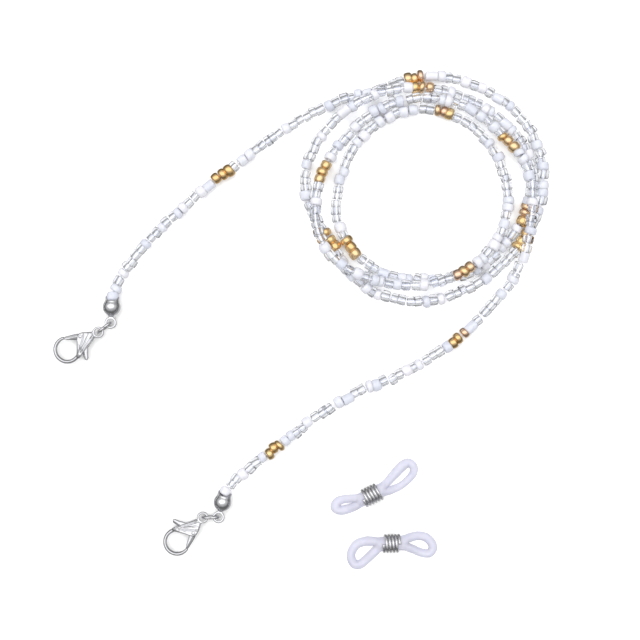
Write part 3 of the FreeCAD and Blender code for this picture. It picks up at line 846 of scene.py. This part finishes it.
def make_holder(name, rubber, wire):
    """Two silicone loops that meet inside a wire coil, the temple's and the clasp's."""
    slide = joint(f"coil_{name}_slide")
    heading = math.atan2(slide["axis"][1], slide["axis"][0])
    coil_middle = middle(f"wire_coil_{name}")
    spot = Vector((coil_middle.x, coil_middle.y, 0))
    place = standing(spot, heading)
    for loop, side in (("temple", 1), ("clasp", -1)):
        points = loop_points(HOLDER_LOOPS[name][loop])
        waist = np.array([(LOOP_JOIN_X, 0, WAIST_Z, WAIST_RADIUS),
                          (side * LOOP_START, 0, WAIST_Z, WAIST_RADIUS)])

        def shape(x, y, z):
            both = joined(limbs(x, y, z, points), limbs(x, y, z, waist), 0.5)
            own = common(both, side * (LOOP_JOIN_X - x) - LOOP_OVERLAP, 0.1)
            return common(own, LOOP_OFF_TABLE - z, 0.15)

        reach = points[:, 3].max() + LOOP_MARGIN
        low = np.minimum(points[:, :3].min(axis=0) - reach, WAIST_LOW)
        high = np.maximum(points[:, :3].max(axis=0) + reach, WAIST_HIGH)
        low[2] = UNDER_TABLE
        piece = sculpted(f"silicone_{name}_{loop}_loop", shape, low, high, LOOP_CELL, place)
        # The photograph shows no shadow under the silicone.
        piece.visible_shadow = False
        stand_in(piece, f"holder_{name}", "silicone", rubber, f"silicone_loop_{name}")
        if side > 0:
            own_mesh(piece)
    turns = WIRE_TURNS[name]
    turn = np.linspace(0, 2 * math.pi * turns, int(WIRE_STEPS_PER_TURN * turns))
    line = np.stack([WIRE_PITCH * (turn / (2 * math.pi) - turns / 2),
                     -WIRE_MEAN * np.sin(turn), WAIST_Z + WIRE_MEAN * np.cos(turn)], axis=1)
    coil = swept(f"wire_coil_{name}_turns", line, WIRE, ROD_SEGMENTS["wire"], place)
    stand_in(coil, f"coil_{name}", "coil_wire", wire, f"wire_coil_{name}")


# ---- materials ----
def principled(name, **values):
    """A material and its shader, with numbers set on the shader's own sockets."""
    made = bpy.data.materials.new(name)
    made.use_nodes = True
    shader = made.node_tree.nodes["Principled BSDF"]
    for socket, value in values.items():
        shader.inputs[socket.replace("_", " ")].default_value = value
    return made, shader


def pattern(made, scale, detail=3.0):
    """Noise laid by the piece's own coordinates, scale in features per metre."""
    tree = made.node_tree
    where = tree.nodes.new("ShaderNodeTexCoord")
    noise = tree.nodes.new("ShaderNodeTexNoise")
    noise.inputs["Scale"].default_value = scale
    noise.inputs["Detail"].default_value = detail
    tree.links.new(where.outputs["Object"], noise.inputs["Vector"])
    return noise.outputs["Fac"]


def ramped(tree, source, socket, stops):
    """Colours a socket from a number by a ramp of (place, colour)."""
    ramp = tree.nodes.new("ShaderNodeValToRGB")
    while len(ramp.color_ramp.elements) < len(stops):
        ramp.color_ramp.elements.new(0.5)
    for element, (place, colour) in zip(ramp.color_ramp.elements, stops):
        element.position = place
        element.color = colour
    tree.links.new(source, ramp.inputs["Fac"])
    tree.links.new(ramp.outputs["Color"], socket)


def coloured(made, shader, source, stops):
    ramped(made.node_tree, source, shader.inputs["Base Color"], stops)


def roughened(made, shader, source, low, high):
    """Roughness from low to high."""
    tree = made.node_tree
    span = tree.nodes.new("ShaderNodeMapRange")
    span.inputs["To Min"].default_value = low
    span.inputs["To Max"].default_value = high
    tree.links.new(source, span.inputs["Value"])
    tree.links.new(span.outputs["Result"], shader.inputs["Roughness"])


def rippled(made, shader, source, strength, depth):
    """Bumps, to a depth in metres."""
    tree = made.node_tree
    bump = tree.nodes.new("ShaderNodeBump")
    bump.inputs["Strength"].default_value = strength
    bump.inputs["Distance"].default_value = depth
    tree.links.new(source, bump.inputs["Height"])
    tree.links.new(bump.outputs["Normal"], shader.inputs["Normal"])


def tone_of(made):
    """The number that each bead has of its own, from 0 to 1."""
    node = made.node_tree.nodes.new("ShaderNodeAttribute")
    node.attribute_name = "tone"
    return node.outputs["Fac"]


def clear_glass():
    """Glass whose shadow is nearly clear."""
    made, shader = principled("clear_glass", Roughness=0.02, IOR=1.5, Transmission_Weight=1.0)
    coloured(made, shader, tone_of(made),
             [(0.0, linear(238, 240, 246)), (1.0, linear(248, 249, 252))])
    tree = made.node_tree
    path = tree.nodes.new("ShaderNodeLightPath")
    through = tree.nodes.new("ShaderNodeBsdfTransparent")
    through.inputs["Color"].default_value = GLASS_SHADOW
    mix = tree.nodes.new("ShaderNodeMixShader")
    tree.links.new(path.outputs["Is Shadow Ray"], mix.inputs["Fac"])
    tree.links.new(shader.outputs["BSDF"], mix.inputs[1])
    tree.links.new(through.outputs["BSDF"], mix.inputs[2])
    tree.links.new(mix.outputs["Shader"], tree.nodes["Material Output"].inputs["Surface"])
    return made


def white_glass():
    made, shader = principled("white_glass", IOR=1.5, Subsurface_Weight=0.6,
                              Subsurface_Scale=0.0009, Coat_Weight=0.35, Coat_Roughness=0.06)
    shader.inputs["Subsurface Radius"].default_value = (1.0, 1.0, 1.05)
    coloured(made, shader, tone_of(made),
             [(0.0, linear(193, 196, 207)), (0.5, linear(201, 203, 211)),
              (1.0, linear(213, 212, 218))])
    roughened(made, shader, pattern(made, 1500), 0.12, 0.3)
    rippled(made, shader, pattern(made, 1100), 0.2, 0.00005)
    return made


def gold_plate():
    made, shader = principled("gold_plate", Metallic=1.0)
    coloured(made, shader, tone_of(made),
             [(0.0, linear(249, 205, 143)), (0.6, linear(252, 218, 160)),
              (1.0, linear(252, 212, 182))])
    roughened(made, shader, pattern(made, 1800), 0.1, 0.25)
    rippled(made, shader, pattern(made, 800, 2.0), 0.3, 0.0001)
    return made


def silver_plate():
    made, shader = principled("silver_plate", Metallic=1.0)
    coloured(made, shader, pattern(made, 500),
             [(0.3, linear(216, 217, 221)), (0.7, linear(233, 233, 236))])
    roughened(made, shader, pattern(made, 1600), 0.07, 0.17)
    rippled(made, shader, pattern(made, 700, 2.0), 0.12, 0.00005)
    return made


def spring_steel(name, low, high):
    made, shader = principled(name, Metallic=1.0)
    coloured(made, shader, pattern(made, 900), [(0.3, low), (0.7, high)])
    roughened(made, shader, pattern(made, 2500), 0.2, 0.32)
    rippled(made, shader, pattern(made, 3000), 0.1, 0.00002)
    return made


def silicone():
    made, shader = principled("silicone", IOR=1.41, Subsurface_Weight=0.75, Subsurface_Scale=0.0014,
                              Transmission_Weight=0.1)
    shader.inputs["Subsurface Radius"].default_value = (1.0, 1.0, 1.1)
    coloured(made, shader, pattern(made, 260),
             [(0.3, linear(188, 188, 202)), (0.7, linear(197, 197, 209))])
    roughened(made, shader, pattern(made, 1200), 0.12, 0.24)
    rippled(made, shader, pattern(made, 2600), 0.12, 0.00003)
    return made


def thread_yarn():
    made, shader = principled("thread_yarn", Sheen_Weight=0.3)
    coloured(made, shader, pattern(made, 3000),
             [(0.3, linear(214, 214, 222)), (0.7, linear(240, 240, 244))])
    roughened(made, shader, pattern(made, 4000), 0.5, 0.7)
    rippled(made, shader, pattern(made, 9000), 0.4, 0.00005)
    return made


# ---- stage ----
def make_floor():
    """A white table, which is seen neither in reflections nor through glass."""
    far = FLOOR_REACH
    floor = mesh_object("floor", [(-far, -far, 0), (far, -far, 0), (far, far, 0), (-far, far, 0)],
                        [(0, 1, 2, 3)], smooth=False)
    made, shader = principled("table_white", Roughness=0.75)
    coloured(made, shader, pattern(made, 30),
             [(0.3, (0.95, 0.95, 0.955, 1)), (0.7, (0.97, 0.97, 0.97, 1))])
    floor.data.materials.append(made)
    floor.visible_glossy = False
    floor.visible_transmission = False


def maths(tree, kind, operation, *values):
    """A maths node, with numbers on its sockets from the second one on."""
    node = tree.nodes.new(kind)
    node.operation = operation
    for i, value in enumerate(values, 1):
        node.inputs[i].default_value = value
    return node


def make_sky():
    """White above and below with a dark band round the horizon, uneven at its edges, so that
    polished metal shows dark lines. The band is lighter for rays that come through glass."""
    world = bpy.data.worlds.new("studio")
    world.use_nodes = True
    tree = world.node_tree
    where = tree.nodes.new("ShaderNodeTexCoord")
    clouds = tree.nodes.new("ShaderNodeTexNoise")
    clouds.inputs["Scale"].default_value = SKY_CLOUDS
    clouds.inputs["Detail"].default_value = 1.0
    stretch = maths(tree, "ShaderNodeVectorMath", "MULTIPLY", SKY_STRETCH)
    straight = maths(tree, "ShaderNodeVectorMath", "NORMALIZE")
    height = maths(tree, "ShaderNodeVectorMath", "DOT_PRODUCT", SKY_LEAN)
    uneven = maths(tree, "ShaderNodeMath", "MULTIPLY_ADD", SKY_UNEVEN)
    half = maths(tree, "ShaderNodeMath", "MULTIPLY_ADD", 0.5, 0.5)
    tree.links.new(where.outputs["Generated"], stretch.inputs[0])
    tree.links.new(stretch.outputs["Vector"], straight.inputs[0])
    tree.links.new(straight.outputs["Vector"], height.inputs[0])
    tree.links.new(where.outputs["Generated"], clouds.inputs["Vector"])
    tree.links.new(clouds.outputs["Fac"], uneven.inputs[0])
    tree.links.new(height.outputs["Value"], uneven.inputs[2])
    tree.links.new(uneven.outputs["Value"], half.inputs[0])
    path = tree.nodes.new("ShaderNodeLightPath")
    pick = tree.nodes.new("ShaderNodeMixRGB")
    tree.links.new(path.outputs["Is Transmission Ray"], pick.inputs["Fac"])
    for stops, socket in ((SKY_STOPS, "Color1"), (GLASS_STOPS, "Color2")):
        ramped(tree, half.outputs["Value"], pick.inputs[socket],
               [((height_at + 1 + SKY_UNEVEN / 2) / 2, (light, light, light, 1))
                for height_at, light in stops])
    tree.links.new(pick.outputs["Color"], tree.nodes["Background"].inputs["Color"])
    tree.nodes["Background"].inputs["Strength"].default_value = SKY_STRENGTH
    bpy.context.scene.world = world


def make_lamps():
    for name, spot, size, power in LAMPS:
        data = bpy.data.lights.new(name, "AREA")
        data.size = size
        data.energy = power
        lamp = bpy.data.objects.new(name, data)
        lamp.location = spot
        lamp.rotation_mode = "QUATERNION"
        lamp.rotation_quaternion = Vector(spot).to_track_quat("Z", "Y")
        lamp.visible_glossy = False
        bpy.context.scene.collection.objects.link(lamp)


# ---- the scene ----
def main():
    make_camera()
    make_floor()
    make_sky()
    make_lamps()
    thread, centre_line = make_thread()
    stand_in(thread, "strand", "thread", thread_yarn(),
             "thread_tail_a", "thread_tail_b", "strand_coil")
    beads = make_beads(Line(centre_line), {"clear": ("clear_glass", clear_glass()),
                                           "white": ("white_glass", white_glass()),
                                           "gold": ("gold_plate", gold_plate())})
    silver = silver_plate()
    steel = spring_steel("spring_steel", linear(150, 150, 154), linear(186, 186, 190))
    for end in ("a", "b"):
        make_end(end, silver, steel)
    rubber = silicone()
    wire = spring_steel("coil_wire", linear(234, 234, 237), linear(249, 249, 250))
    for name in HOLDER_LOOPS:
        make_holder(name, rubber, wire)
    bpy.context.scene.view_settings.view_transform = "Standard"


main()
